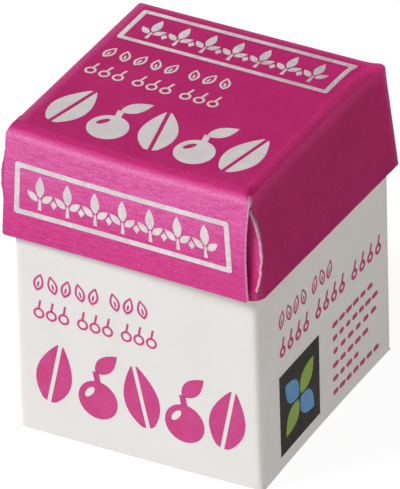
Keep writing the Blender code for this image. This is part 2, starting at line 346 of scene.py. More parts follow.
class Finish(Tree):
    """A material of one Principled shader over patterns in the piece's own coordinates."""

    def __init__(self, name):
        self.material = bpy.data.materials.new(name)
        self.material.use_nodes = True
        super().__init__(self.material.node_tree)
        self.tree.nodes.clear()
        self.place = self.node("ShaderNodeTexCoord").outputs["Object"]

    def noise(self, size, detail=3.0, stretch=(1, 1, 1), roughness=0.5, low=0.30, high=0.70):
        """Noise from 0 to 1, its blots about this size in metres, drawn out along the axes by the stretch."""
        scale = Vector([1 / (size * share) for share in stretch])
        inputs = {"Vector": self.place, "Scale": scale}
        scaled = self.node("ShaderNodeMapping", {"vector_type": "POINT"}, inputs).outputs["Vector"]
        inputs = {"Vector": scaled, "Scale": 1.0, "Detail": detail, "Roughness": roughness}
        return self.number("ShaderNodeTexNoise", {"noise_dimensions": "3D"}, inputs, "Fac").step(low, high)

    def attribute(self, name):
        return self.number("ShaderNodeAttribute", {"attribute_name": name}, {}, "Fac")

    def mix(self, share, one, other):
        """From one colour to the other."""
        settings = {"data_type": "RGBA", "blend_type": "MIX"}
        return self.node("ShaderNodeMix", settings, {0: share, 6: one, 7: other}).outputs[2]

    def done(self, colour, roughness, height, lift, constants=None, metallic=0.0, coat=0.0):
        """Joins it all to the shader. The lift is how high the bumps stand, in metres."""
        bump = self.node("ShaderNodeBump", {}, {"Height": height, "Distance": lift, "Strength": 1.0})
        inputs = {
            "Base Color": colour, "Roughness": roughness, "Metallic": metallic, "Coat Weight": coat,
            "Normal": bump.outputs["Normal"],
        }
        inputs.update(constants or {})
        shader = self.node("ShaderNodeBsdfPrincipled", {}, inputs)
        self.node("ShaderNodeOutputMaterial", {}, {"Surface": shader.outputs["BSDF"]})
        return self.material


# Finishes

MAGENTA = (0.610, 0.014, 0.182, 1)
MAGENTA_DEEP = (0.530, 0.009, 0.150, 1)
MAGENTA_PAINTED_LIGHT = (0.920, 0.020, 0.260, 1)
MAGENTA_PAINTED_SHADE = (0.120, 0.001, 0.022, 1)
MAGENTA_WORN_AND_HIGHLIT = (0.900, 0.260, 0.560, 1)
MAGENTA_PAINTED_SHEEN = (0.980, 0.330, 0.800, 1)
WHITE_BOARD = (0.800, 0.785, 0.775, 1)
WHITE_BOARD_DULL = (0.760, 0.742, 0.725, 1)
RAW_FIBRE = (0.860, 0.570, 0.700, 1)
RAW_FIBRE_DARK = (0.600, 0.230, 0.380, 1)
INNER_BOARD = (0.620, 0.600, 0.575, 1)
INNER_BOARD_DARK = (0.520, 0.495, 0.470, 1)
FOIL = (0.950, 0.900, 0.930, 1)
FOIL_DULL = (0.720, 0.640, 0.680, 1)


def printed_board():
    """Coated board under a full field of magenta, paler where a fold stretches the ink, with painted light,
    shade and sheen, and a painted highlight on the front fold.
    """
    finish = Finish("printed_magenta_board")
    cloud = finish.noise(0.0060, 4.0)
    fibre = finish.noise(0.00035, 5.0, roughness=0.65)
    grain = finish.noise(0.00010, 2.0)
    strand = finish.noise(0.00030, 4.0, stretch=(7, 1, 1))
    # Wear along the folds, which on the front fold is partly a painted highlight
    wear_and_highlight = (finish.attribute("fold") * (0.45 + fibre * 0.9)).clamped()
    # Painted sheen, which makes the front board paler
    rubbed = (finish.attribute("rub") * (0.30 + strand * 0.7 + fibre * 0.7)).clamped()
    specks = finish.noise(0.00050, 1.0, low=0.72, high=0.80) * 0.30
    # Painted light along the right crease and behind the fold, and painted shade on the side walls
    tone = finish.attribute("tone")
    colour = finish.mix((cloud * 0.5 + fibre * 0.5).clamped(), MAGENTA_DEEP, MAGENTA)
    colour = finish.mix(tone.clamped(), colour, MAGENTA_PAINTED_LIGHT)
    colour = finish.mix((0.0 - tone).clamped(), colour, MAGENTA_PAINTED_SHADE)
    colour = finish.mix(rubbed, colour, MAGENTA_PAINTED_SHEEN)
    colour = finish.mix((wear_and_highlight + specks).clamped(), colour, MAGENTA_WORN_AND_HIGHLIT)
    roughness = (0.46 + fibre * 0.16 - cloud * 0.06 + wear_and_highlight * 0.10).clamped()
    height = fibre * 0.7 + grain * 0.2 + strand * 0.6
    coat = (finish.attribute("rub") * 0.3).clamped()
    constants = {"Coat Roughness": 0.40, "Specular IOR Level": 0.12, "Specular Tint": (0.90, 0.70, 1.0, 1)}
    return finish.done(colour, roughness, height, 0.000030, constants, coat=coat)


def white_board():
    """Clay-coated board, faintly mottled by the fibres under the coating."""
    finish = Finish("coated_white_board")
    cloud = finish.noise(0.0085, 4.0)
    fibre = finish.noise(0.00050, 5.0, roughness=0.6)
    strand = finish.noise(0.00040, 4.0, stretch=(1, 1, 6))
    specks = finish.noise(0.00030, 1.0, low=0.76, high=0.82) * 0.30
    shade = (cloud * 0.6 + fibre * 0.4 - specks).clamped()
    colour = finish.mix(shade, WHITE_BOARD_DULL, WHITE_BOARD)
    roughness = (0.46 + fibre * 0.14 + cloud * 0.05).clamped()
    height = fibre * 0.6 + strand * 0.5
    return finish.done(colour, roughness, height, 0.000014, {"Specular IOR Level": 0.40})


def cut_edge():
    """The torn white fibres along a die-cut end of the board."""
    finish = Finish("cut_board_edge")
    fibre = finish.noise(0.00022, 5.0, roughness=0.7)
    tuft = finish.noise(0.00070, 3.0)
    colour = finish.mix((fibre * 0.7 + tuft * 0.6).clamped(), RAW_FIBRE_DARK, RAW_FIBRE)
    roughness = (0.80 + fibre * 0.15).clamped()
    return finish.done(colour, roughness, fibre + tuft, 0.00005, {"Specular IOR Level": 0.2})


def inner_board():
    """The unprinted inside of the lid, greyer and rougher than its coated face."""
    finish = Finish("uncoated_inner_board")
    cloud = finish.noise(0.0070, 4.0)
    fibre = finish.noise(0.00045, 5.0, stretch=(3, 1, 1), roughness=0.65)
    colour = finish.mix((cloud * 0.5 + fibre * 0.5).clamped(), INNER_BOARD_DARK, INNER_BOARD)
    roughness = (0.72 + fibre * 0.16).clamped()
    return finish.done(colour, roughness, fibre, 0.00003, {"Specular IOR Level": 0.25})


def silver_foil():
    """Hot-stamped foil, which takes on the tooth of the board below it."""
    finish = Finish("silver_foil")
    fibre = finish.noise(0.00040, 5.0, roughness=0.65)
    cloud = finish.noise(0.0035, 3.0)
    broken = finish.noise(0.00060, 3.0, low=0.55, high=0.70) * 0.55
    colour = finish.mix((fibre * 0.5 + cloud * 0.5 - broken).clamped(), FOIL_DULL, FOIL)
    roughness = (0.26 + fibre * 0.14 + broken * 0.3).clamped()
    metallic = (0.95 - broken * 0.5).clamped()
    return finish.done(colour, roughness, fibre + cloud * 2, 0.000040, metallic=metallic)


def ink(name, full, thin):
    """A printed ink, a little thinner where the board's fibres stand up."""
    finish = Finish(name)
    fibre = finish.noise(0.00038, 5.0, roughness=0.65)
    cloud = finish.noise(0.0040, 3.0)
    colour = finish.mix((fibre * 0.5 + cloud * 0.5).clamped(), thin, full)
    roughness = (0.42 + fibre * 0.16).clamped()
    return finish.done(colour, roughness, fibre, 0.000014, {"Specular IOR Level": 0.40})


# Board meshes


def straight_box(low, high):
    """A box from its lowest to its highest corner, as a bmesh."""
    bm = bmesh.new()
    bmesh.ops.create_cube(bm, size=1)
    for vert in bm.verts:
        share = vert.co + Vector((0.5, 0.5, 0.5))
        vert.co = low + Vector(a * b for a, b in zip(share, high - low))
    return bm


def into_object(name, bm, material=None):
    mesh = bpy.data.meshes.new(name)
    bm.to_mesh(mesh)
    bm.free()
    made = bpy.data.objects.new(name, mesh)
    bpy.context.scene.collection.objects.link(made)
    if material:
        mesh.materials.append(material)
    return made


def applied(made):
    """The object with its modifiers worked into its mesh."""
    graph = bpy.context.evaluated_depsgraph_get()
    mesh = bpy.data.meshes.new_from_object(made.evaluated_get(graph))
    made.modifiers.clear()
    made.data = mesh
    return made


def rounded(made, radius_of, steps):
    """Bevels each edge of a straight shape by the radius that its direction and its middle ask for."""
    bm = bmesh.new()
    bm.from_mesh(made.data)
    radii = []
    for edge in bm.edges:
        a, b = (vert.co for vert in edge.verts)
        radii.append(radius_of((b - a).normalized(), (a + b) / 2))
    widest = max(radii)
    weights = bm.edges.layers.float.new("bevel_weight_edge")
    for edge, radius in zip(bm.edges, radii):
        edge[weights] = radius / widest
    bm.to_mesh(made.data)
    bm.free()
    step = made.modifiers.new("Bevel", "BEVEL")
    step.limit_method = "WEIGHT"
    step.width = widest
    step.segments = steps
    step.use_clamp_overlap = True
    return applied(made)


def cut_away(made, other):
    """Takes another object out of a piece. Its cut faces keep the finish of the cutter's faces."""
    step = made.modifiers.new("Cut", "BOOLEAN")
    step.operation = "DIFFERENCE"
    step.solver = "MANIFOLD"
    step.object = other
    applied(made)
    bpy.data.objects.remove(other)


def steps_between(low, high, longest=PANEL_STEP):
    """Even steps between two places, both left out."""
    count = max(2, math.ceil((high - low) / longest))
    return [low + (high - low) * i / count for i in range(1, count)]


def divide(bm, places):
    """Cuts the faces by planes across each axis, so that the panels can bow between them."""
    for axis in range(3):
        normal = Vector((0, 0, 0))
        normal[axis] = 1
        for place in places[axis]:
            geom = bm.verts[:] + bm.edges[:] + bm.faces[:]
            bmesh.ops.bisect_plane(bm, geom=geom, dist=ONE_POINT, plane_co=normal * place, plane_no=normal)


def divide_panels(made, places):
    bm = bmesh.new()
    bm.from_mesh(made.data)
    divide(bm, places)
    bm.to_mesh(made.data)
    bm.free()


def dress(made, finishes, finish_of):
    """Gives each face the finish that its direction and middle ask for."""
    for finish in finishes:
        made.data.materials.append(finish)
    for face in made.data.polygons:
        face.material_index = finish_of(face.normal, face.center)


def mark_wear_and_painted_light(made, folds, **others):
    """Keeps how near each point is to a fold, and other wear, painted light, shade and sheen by name, while
    the board is still straight.
    """

    def fold(place):
        return max([math.exp(-((far(place) / FOLD_BAND) ** 2)) * much for far, much in folds])

    for name, rule in {"fold": fold, **others}.items():
        layer = made.data.attributes.new(name, "FLOAT", "POINT")
        for vert, item in zip(made.data.vertices, layer.data):
            item.value = rule(vert.co)


def carry(made, shape):
    for vert in made.data.vertices:
        vert.co = shape(vert.co)


def fray(made, reach, tuft=TUFT):
    """Moves the points of the cut faces a little, as torn fibres do, in tufts of about this size."""
    cut = {index for face in made.data.polygons if face.material_index == CUT for index in face.vertices}
    for index in cut:
        place = made.data.vertices[index].co
        place += noise.noise_vector(place / tuft) * reach


def smooth_faces(made):
    made.data.shade_smooth()
    made.data.set_sharp_from_angle(angle=SMOOTH_BELOW)


def plate(name, outline, thickness, axis, start):
    """A flat plate: its outline is pairs across the given axis, and it runs from start along that axis."""
    bm = bmesh.new()
    others = [i for i in range(3) if i != axis]
    corners = []
    for pair in outline:
        place = Vector((0, 0, 0))
        place[axis] = start
        place[others[0]], place[others[1]] = pair
        corners.append(bm.verts.new(place))
    face = bm.faces.new(corners)
    along = Vector((0, 0, 0))
    along[axis] = thickness
    grown = bmesh.ops.extrude_face_region(bm, geom=[face])
    moved = [item for item in grown["geom"] if isinstance(item, bmesh.types.BMVert)]
    bmesh.ops.translate(bm, verts=moved, vec=along)
    bmesh.ops.recalc_face_normals(bm, faces=bm.faces[:])
    return into_object(name, bm)


def half_moon(chord_place, apex_place, middle, half_length):
    """Points of a circle's segment that bulges from its chord to its apex, closed along the chord."""
    rise = apex_place - chord_place
    radius = (half_length**2 + rise**2) / (2 * abs(rise))
    turn = math.asin(half_length / radius)
    side = math.copysign(1, rise)
    points = []
    for i in range(ARC_STEPS + 1):
        angle = turn * (2 * i / ARC_STEPS - 1)
        across = apex_place - side * radius * (1 - math.cos(angle))
        points.append((across, middle + radius * math.sin(angle)))
    return points


def make_base(finish):
    half = Vector((BASE_WIDTH / 2, BASE_DEPTH / 2, 0))
    made = into_object("base_board", straight_box(-half, half + Vector((0, 0, BASE_HEIGHT))))

    def radius(direction, middle):
        if abs(direction.z) > 0.5:
            return BASE_CORNER_RADIUS
        return BASE_FOOT_RADIUS if middle.z < BASE_HEIGHT / 2 else 0

    rounded(made, radius, CORNER_STEPS)
    rows = steps_between(0, NECK_START) + [NECK_START] + steps_between(NECK_START, NECK_END, NECK_STEP)
    rows += [NECK_END] + steps_between(NECK_END, BASE_HEIGHT)
    divide_panels(made, (steps_between(-half.x, half.x), steps_between(-half.y, half.y), rows))
    carry(made, base_shape)
    smooth_faces(made)
    made.data.materials.append(finish)
    return made


def lid_block(inset, name):
    """The block inside the lid's tray, or with no inset the block that the tray fills."""
    low = Vector((-LID_WIDTH / 2 + LEFT_WALL_INSET + inset, -LID_DEPTH / 2 + BOARD + inset, -inset))
    high = Vector((LID_WIDTH / 2 - inset, LID_DEPTH / 2 - inset, LID_HEIGHT - inset))
    made = into_object(name, straight_box(low, high))

    def radius(direction, middle):
        if abs(direction.z) > 0.5:
            outer = LID_FRONT_CORNER_RADIUS if middle.y < 0 else LID_BACK_CORNER_RADIUS
        elif middle.z < LID_HEIGHT / 2:
            outer = 0
        elif abs(direction.x) > 0.5:
            outer = TRAY_FRONT_CREASE_RADIUS if middle.y < 0 else BACK_CREASE_RADIUS
        else:
            outer = LEFT_CREASE_RADIUS if middle.x < 0 else RIGHT_CREASE_RADIUS
        return outer - inset if outer > SHARP_BELOW * inset else 0

    return rounded(made, radius, CORNER_STEPS)


def tongue_middle(side):
    return RIGHT_TONGUE_MIDDLE if side > 0 else LEFT_TONGUE_MIDDLE


def tongue_half_length(side):
    return RIGHT_TONGUE_HALF_LENGTH if side > 0 else LEFT_TONGUE_HALF_LENGTH


def tongue_slot(side):
    """Cuts away the corner behind a tongue, where its board came from."""
    tab = -LID_DEPTH / 2 + BOARD
    chord = tab + BOARD + HAIR
    outline = half_moon(chord, tab + TONGUE_SLOT_DEPTH, tongue_middle(side), tongue_half_length(side))
    reach = LID_FRONT_CORNER_RADIUS + BOARD
    return plate("tongue_slot", outline, 2 * reach, 0, side * LID_WIDTH / 2 - reach)


def make_tray(finishes):
    """The lid's top, side walls, back wall and front tabs, open below, with the tongues' slots."""
    made = lid_block(0, "lid_tray")
    hollow = lid_block(BOARD, "hollow")
    slots = [tongue_slot(side) for side in (-1, 1)]
    dress(made, finishes, lambda way, place: CUT if way.z < -0.9 else PRINTED)
    dress(hollow, finishes, lambda way, place: INSIDE)
    cut_away(made, hollow)
    for slot in slots:
        dress(slot, finishes, lambda way, place: CUT)
        cut_away(made, slot)
    half_x, half_y = LID_WIDTH / 2, LID_DEPTH / 2
    columns = steps_between(-half_x, half_x) + [half_x - EAR_REACH * share for share in EAR_SHARES]
    ranks = steps_between(-half_y, half_y) + [half_y - EAR_REACH * share for share in EAR_SHARES]
    rows = steps_between(0, LID_HEIGHT)
    rows += [LID_HEIGHT - RIGHT_CREASE_RADIUS * share for share in CREASE_SHARES]
    divide_panels(made, (columns, ranks, rows))
    front = -half_y + BOARD

    def tone(place):
        """Painted light along the right crease, and painted shade on the side walls under it."""
        down = LID_HEIGHT - place.z
        far = math.hypot(half_x - place.x, down - 0.3 * RIGHT_CREASE_RADIUS)
        glow = math.exp(-((far / CREASE_PAINTED_LIGHT_BAND) ** 2))
        wall = smooth(1 - (half_x - abs(place.x)) / RIGHT_CREASE_RADIUS)
        wall *= smooth((down - WALL_SHADE_FROM) / WALL_SHADE_BAND)
        return CREASE_PAINTED_LIGHT * glow - WALL_PAINTED_SHADE * wall

    mark_wear_and_painted_light(made, [
        (lambda p: math.hypot(half_x - p.x, LID_HEIGHT - 1.5 * RIGHT_CREASE_RADIUS - p.z), RIGHT_WALL_WEAR),
        (lambda p: math.hypot(half_x - p.x, LID_HEIGHT - p.z) - 0.6 * RIGHT_CREASE_RADIUS, RIGHT_CREASE_WEAR),
        (lambda p: math.hypot(p.x + half_x, LID_HEIGHT - p.z), LEFT_CREASE_WEAR),
        (lambda p: math.hypot(half_y - p.y, LID_HEIGHT - p.z), BACK_WEAR),
        (lambda p: math.hypot(half_y - p.y, half_x - p.x), BACK_WEAR),
        (lambda p: math.hypot(half_y - p.y, half_x + p.x), BACK_WEAR),
        (lambda p: math.hypot(p.y - front, half_x - p.x) - 0.4 * LID_FRONT_CORNER_RADIUS, FRONT_CORNER_WEAR),
    ], tone=tone)
    carry(made, lid_shape)
    fray(made, FRAY)
    smooth_faces(made)
    return made


def round_drop(place, radius):
    """How far a right crease of this radius has fallen under a point of the lid's top."""
    over = min(max(place.x - LID_WIDTH / 2 + radius, 0) / radius, PRESS_END)
    return radius * (1 - math.sqrt(1 - over * over))


def pressed_corner(place):
    """Presses the right end of the fold down on to the tray, wholly so where the board meets the top."""
    fold = LID_HEIGHT - FRONT_FOLD_RADIUS
    share = min(max(place.z - fold, 0) / FRONT_FOLD_RADIUS, 1)
    back = smooth((place.y + LID_DEPTH / 2) / (PRESS_REACH * FRONT_FOLD_RADIUS))
    drop = blend(round_drop(place, FOLD_END_RADIUS), round_drop(place, RIGHT_CREASE_RADIUS), back)
    return Vector((place.x, place.y, place.z - share * drop))


def right_end_short(level):
    """How far the front board's right end stops short of the corner, from the rim to the top."""
    bow = FRONT_SHORT_BOW * math.sin(math.pi * min(max(level, 0), 1))
    return blend(FRONT_SHORT_AT_RIM, FRONT_SHORT_AT_TOP, level) + bow


def make_front_board(finishes):
    """The lid's front panel with the fold that joins it to the top."""
    front = -LID_DEPTH / 2
    back = front + BOARD
    fold = LID_HEIGHT - FRONT_FOLD_RADIUS
    outline = [(back, -FRONT_DROP), (front, -FRONT_DROP)]
    for i in range(CORNER_STEPS + 1):
        angle = math.pi / 2 * i / CORNER_STEPS
        y = front + FRONT_FOLD_RADIUS * (1 - math.cos(angle))
        outline.append((y, fold + FRONT_FOLD_RADIUS * math.sin(angle) + HAIR))
    seat = front + BOARD + SEAT_REACH * FRONT_FOLD_RADIUS
    outline += [(seat, LID_HEIGHT - HAIR), (seat, LID_HEIGHT - BOARD / 2), (back, fold - FRONT_FOLD_RADIUS)]
    made = plate("lid_front_board", outline, LID_WIDTH, 0, -LID_WIDTH / 2)

    def side_of(way, place):
        if abs(way.x) > 0.9 or way.z < -0.9 and place.z < 0:
            return CUT
        return PRINTED if way.y < -0.02 or way.z > 0.5 else INSIDE

    def nip(direction, middle):
        return FRONT_NIP if abs(direction.y) > 0.5 and middle.z < 0 else 0

    dress(made, finishes, side_of)
    rounded(made, nip, NIP_STEPS)
    bare, torn_back = LID_WIDTH / 2 - BARE_STRIP, front + TORN_CORNER
    divide_panels(made, ([bare], [torn_back], steps_between(0, fold)))
    for face in made.data.polygons:
        if face.center.y > torn_back:
            face.material_index = PRINTED if face.material_index == CUT else face.material_index
        elif face.center.x > bare:
            face.material_index = CUT
    for vert in made.data.vertices:
        past_fold = max(0, vert.co.z - fold)
        if vert.co.x > 0:
            vert.co.x -= right_end_short(vert.co.z / LID_HEIGHT) + RIGHT_FOLD_TRIM * past_fold
        else:
            vert.co.x -= FRONT_PAST - LEFT_FOLD_TRIM * past_fold

    columns = steps_between(-LID_WIDTH / 2, LID_WIDTH / 2)
    columns += [LID_WIDTH / 2 - RIGHT_CREASE_RADIUS * (1 - i / CORNER_STEPS) for i in range(CORNER_STEPS)]
    ranks = [front + FRONT_FOLD_RADIUS * share for share in SEAT_SHARES]
    rows = [fold + FRONT_FOLD_RADIUS * share for share in FOLD_SHARES]
    divide_panels(made, (columns, ranks, rows))

    def past_ridge(place):
        """How far behind the fold's foot a point lies, along the board."""
        rise = min(max(place.z - fold, 0) / FRONT_FOLD_RADIUS, 1)
        return FRONT_FOLD_RADIUS * math.asin(rise) + max(0, place.y - front - FRONT_FOLD_RADIUS)

    def to_seat(place):
        """1 up to the fold's far side and 0 where the board ends on the tray."""
        return 1 - smooth((place.y - front - FRONT_FOLD_RADIUS) / (seat - front - FRONT_FOLD_RADIUS))

    # Painted sheen over the front board's panel, round a line under the fold, on the fold and behind it
    def rub(place):
        if place.z < fold:
            return PANEL_SHEEN + LINE_SHEEN * math.exp(-(((fold - LINE_BELOW_FOLD - place.z) / LINE_SHEEN_BAND) ** 2))
        past = past_ridge(place)
        on_fold = FOLD_SHEEN * math.exp(-((past / FOLD_SHEEN_BAND) ** 2))
        return on_fold + SEAT_SHEEN * math.exp(-past / SEAT_SHEEN_BAND) * to_seat(place)

    # Painted light on the board's top behind the fold
    def tone(place):
        if place.z < fold:
            return 0
        return SEAT_PAINTED_LIGHT * (1 - math.exp(-((past_ridge(place) / SEAT_PAINTED_LIGHT_BAND) ** 2))) * to_seat(place)

    def from_fold(place):
        return math.hypot(place.y - front, fold - place.z) / FRONT_FOLD_SPREAD

    mark_wear_and_painted_light(made, [(from_fold, FRONT_FOLD_WEAR_AND_HIGHLIGHT)], rub=rub, tone=tone)
    carry(made, lambda place: lid_shape(pressed_corner(place), 0))
    fray(made, FRAY / 2)
    smooth_faces(made)
    return made


def tongue_outline(side):
    """The arc of a tongue, which starts inside the corner's round on the right."""
    if side > 0:
        wall, root, reach = LID_WIDTH / 2, RIGHT_TONGUE_ROOT, RIGHT_TONGUE_REACH
    else:
        wall, root, reach = LEFT_WALL_INSET - LID_WIDTH / 2, 0, LEFT_TONGUE_REACH
    return half_moon(wall - side * root, wall + side * reach, tongue_middle(side), tongue_half_length(side))


def make_tongue(side, finishes):
    """The half-moon of board that stands out at a front corner, in the plane of the tab."""
    outline = tongue_outline(side)
    chord, apex = outline[0][0], outline[ARC_STEPS // 2][0]
    root = side * (LID_WIDTH / 2 - LID_FRONT_CORNER_RADIUS - BOARD)
    outline += [(root, outline[-1][1]), (root, outline[0][1])]
    start = -LID_DEPTH / 2 + BOARD + HAIR
    made = plate("lid_tongue_right" if side > 0 else "lid_tongue_left", outline, BOARD - 2 * HAIR, 1, start)
    dress(made, finishes, lambda way, place: CUT if abs(way.y) < 0.9 else PRINTED if way.y < 0 else INSIDE)
    bm = bmesh.new()
    bm.from_mesh(made.data)
    face = min(bm.faces, key=lambda item: item.calc_center_median().y)
    torn = bmesh.ops.inset_region(bm, faces=[face], thickness=TORN_BAND, use_even_offset=True)
    for item in torn["faces"]:
        on_arc = side * (item.calc_center_median().x - chord) > -TORN_BAND
        item.material_index = CUT if on_arc and side > 0 else PRINTED
    bm.to_mesh(made.data)
    bm.free()
    divide_panels(made, ([], [start + BOARD / 3, start + 2 * BOARD / 3], steps_between(0, LID_HEIGHT)))
    mark_wear_and_painted_light(made, [(lambda p: side * (apex - p.x), TONGUE_WEAR)])
    carry(made, lid_shape)
    fray(made, TONGUE_FRAY)
    fray(made, TONGUE_STRAY, WIDE_TUFT)
    smooth_faces(made)
    return made


# Print: flat motifs, in metres, round their own middle. The numbers in them are shares of a motif's size

LEAF_RISE = 0.85  # below 1, a leaf is widest under its middle
LEAF_ROUND = 0.9  # below 1, its sides are fuller


def ring_points(radius_x, radius_y, count, turn=0.0):
    angles = [turn + math.tau * i / count for i in range(count)]
    return [Vector((radius_x * math.cos(angle), radius_y * math.sin(angle), 0)) for angle in angles]


def leaf_points(length, width, count=9):
    """The outline of a pointed leaf that stands upright, from its foot round to its tip and back."""
    right = []
    for i in range(count + 1):
        share = i / count
        half = width / 2 * math.sin(math.pi * share**LEAF_RISE) ** LEAF_ROUND
        right.append(Vector((half, length * (share - 0.5), 0)))
    left = [Vector((-p.x, p.y, 0)) for p in right[-2:0:-1]]
    return right + left


def flat(pairs):
    return [Vector((*pair, 0)) for pair in pairs]


def placed(points, offset, turn=0.0):
    moved = Matrix.Rotation(turn, 3, "Z")
    return [moved @ point + Vector((*offset, 0)) for point in points]


class Motif:
    """A flat printed shape, built of filled patches and of bands between two like outlines."""

    def __init__(self, name):
        self.name = name
        self.bm = bmesh.new()

    def patch(self, points):
        self.bm.faces.new([self.bm.verts.new(point) for point in points])
        return self

    def band(self, outer, inner):
        rows = [[self.bm.verts.new(point) for point in points] for points in (outer, inner)]
        count = len(outer)
        for i in range(count):
            j = (i + 1) % count
            self.bm.faces.new((rows[0][i], rows[0][j], rows[1][j], rows[1][i]))
        return self

    def mesh(self):
        bmesh.ops.recalc_face_normals(self.bm, faces=self.bm.faces[:])
        for face in self.bm.faces:
            if face.normal.z < 0:
                face.normal_flip()
        bmesh.ops.triangulate(self.bm, faces=self.bm.faces[:])
        mesh = bpy.data.meshes.new(self.name)
        self.bm.to_mesh(mesh)
        self.bm.free()
        return mesh


def outlined_leaf(length, width, stroke):
    outer = leaf_points(length, width)
    inner = leaf_points(length - 2.6 * stroke, width - 2 * stroke)
    motif = Motif("outlined_leaf").band(outer, inner)
    return motif.patch(placed(ring_points(stroke / 2, length * 0.18, 8), (0, -length * 0.10))).mesh()


def outlined_berry(size, stroke):
    radius = size * 0.29
    low = -size / 2 + radius
    rings = [placed(ring_points(r, r, 20), (0, low)) for r in (radius, radius - stroke)]
    foot, top = low + radius * 0.9, size / 2
    stem = ((-stroke / 2, foot), (stroke / 2, foot), (stroke * 1.3, top), (stroke * 0.3, top))
    return Motif("outlined_berry").band(*rings).patch(flat(stem)).mesh()


def sprig(size):
    """Two leaves and a bud on a short stem."""
    motif = Motif("sprig")
    motif.patch(placed(leaf_points(size * 0.64, size * 0.26), (0, size * 0.18)))
    for side in (-1, 1):
        leaf = leaf_points(size * 0.40, size * 0.20)
        motif.patch(placed(leaf, (side * size * 0.22, -size * 0.12), -side * math.radians(50)))
    stem = size * 0.055
    low, high = -size / 2, -size * 0.17
    return motif.patch(flat(((-stem, low), (stem, low), (stem / 2, high), (-stem / 2, high)))).mesh()


def diamond(size):
    return Motif("diamond").patch(ring_points(size * 0.36, size / 2, 4)).mesh()


def bold_leaf(length, width, vein):
    """A heavy leaf in two halves, with the board showing along its vein."""
    motif = Motif("bold_leaf")
    half = [(p.x, p.y) for p in leaf_points(length, width, 14) if p.x > vein / 2]
    foot, tip = (vein / 2, half[0][1] - vein * 0.4), (vein / 2, half[-1][1] + vein * 0.4)
    for side in (-1, 1):
        motif.patch(flat((side * x, y) for x, y in (foot, *half, tip)))
    return motif.mesh()


def bold_berry(height, radius):
    """A heavy round berry with a bare glint, under a short stem and one leaf."""
    motif = Motif("bold_berry")
    low = -height / 2 + radius
    glint = ring_points(radius * 0.16, radius * 0.36, 32)
    glint = placed(glint, (-radius * 0.42, low + radius * 0.34), math.radians(-38))
    motif.band(placed(ring_points(radius, radius, 32), (0, low)), glint)
    foot = low + radius * 0.985
    tip = foot + radius * 0.5
    stem = radius * 0.16
    motif.patch(flat(((-stem, foot), (stem, foot), (stem * 0.4, tip), (-stem * 1.6, tip))))
    leaf = leaf_points(radius * 1.62, radius * 0.80)
    return motif.patch(placed(leaf, (radius * 0.46, foot + radius * 1.02), math.radians(-44))).mesh()


def dash(length, height):
    """A short bar with round ends."""
    ring = ring_points(height / 2, height / 2, 12, math.pi / 2 + math.pi / 12)
    reach = length / 2 - height / 2
    return Motif("dash").patch(flat((p.x + math.copysign(reach, p.x), p.y) for p in ring)).mesh()


def frame_band(low, high, line, corner):
    """A closed rectangular frame with rounded corners."""
    outer, inner = [], []
    for points, inset, radius in ((outer, 0, corner), (inner, line, corner * 0.5)):
        box = (low[0] + inset, low[1] + inset, high[0] - inset, high[1] - inset)
        for quarter, (x, y) in enumerate(((2, 3), (0, 3), (0, 1), (2, 1))):
            middle = (box[x] + (-radius if x == 2 else radius), box[y] + (-radius if y == 3 else radius))
            for i in range(5):
                angle = math.pi / 2 * (quarter + i / 4)
                points.append((middle[0] + radius * math.cos(angle), middle[1] + radius * math.sin(angle)))
    return Motif("frame").band(flat(outer), flat(inner)).mesh()


